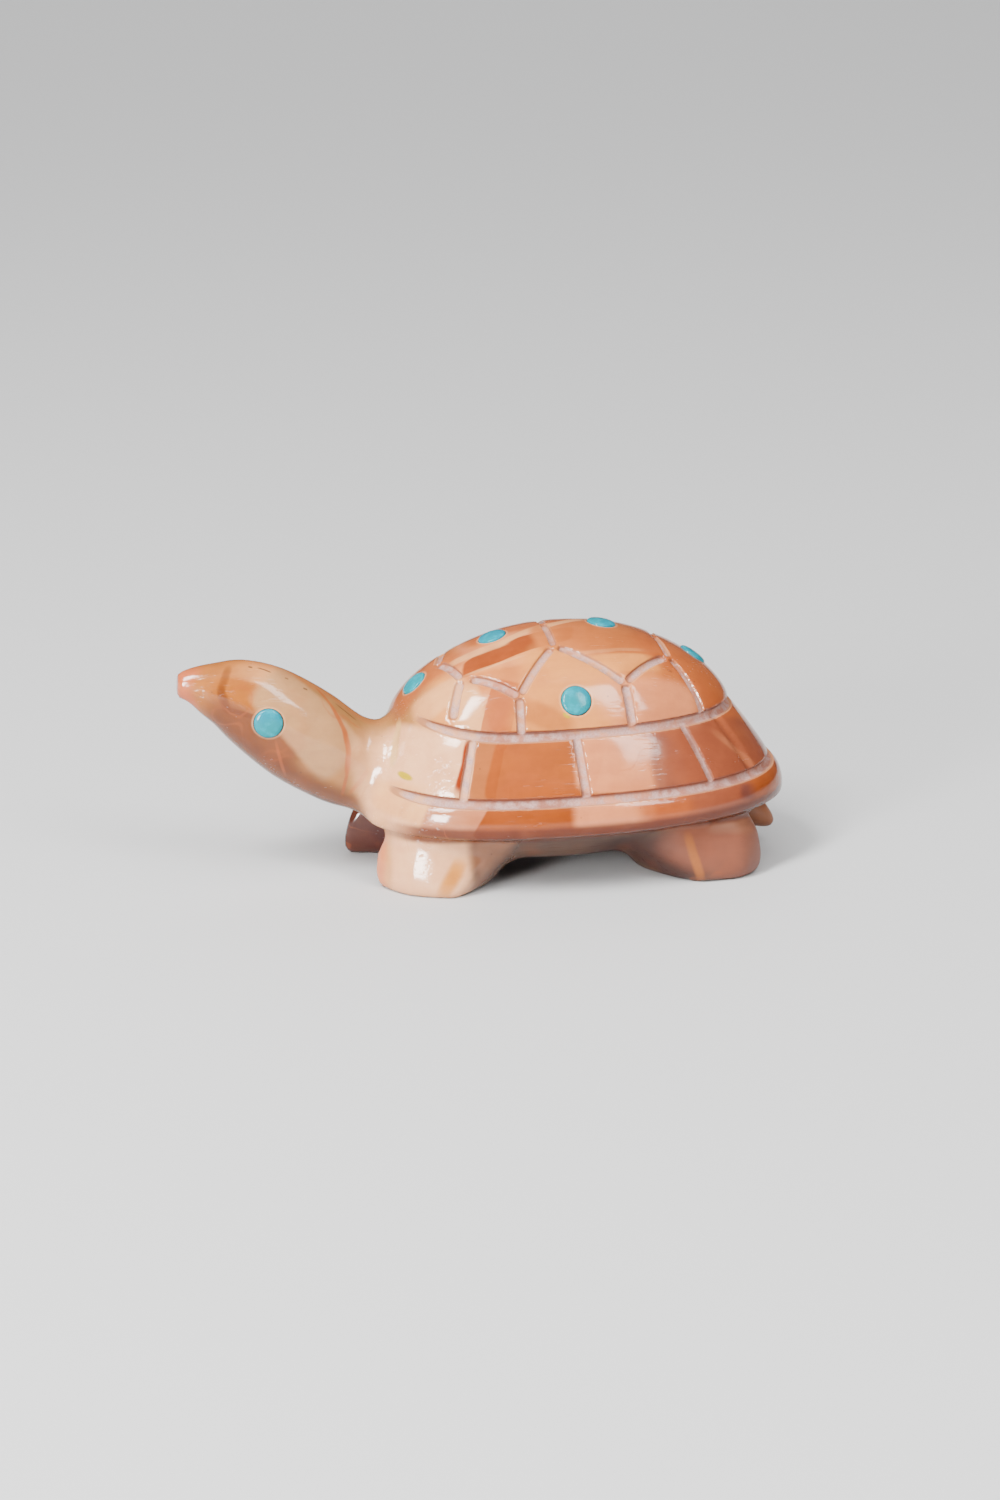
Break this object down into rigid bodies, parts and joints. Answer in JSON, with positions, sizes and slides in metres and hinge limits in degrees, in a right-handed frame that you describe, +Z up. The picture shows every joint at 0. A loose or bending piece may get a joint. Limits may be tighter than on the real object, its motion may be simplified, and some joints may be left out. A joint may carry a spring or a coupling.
{
  "type": "carved stone turtle figurine",
  "caption": "Small carved and polished stone turtle with a raised head, standing on its feet, with a grooved domed shell and round turquoise inlays.",
  "frame": {"origin": "on the ground below the middle of the whole carving", "axes": "+X from the head towards the tail, along the body; +Y towards the turtle's right side; +Z up"},
  "size_m": [0.0672, 0.0304, 0.0272],
  "materials": {
    "banded_stone": "high polish",
    "turquoise": "high polish"
  },
  "bodies": {
    "root": {"turtle_carving": "banded_stone", "eye_left": "turquoise", "eye_right": "turquoise", "shell_dot_left": "turquoise", "shell_dot_right": "turquoise", "shell_dot_1": "turquoise", "shell_dot_2": "turquoise", "shell_dot_3": "turquoise", "shell_dot_4": "turquoise"}
  },
  "joints": []
}
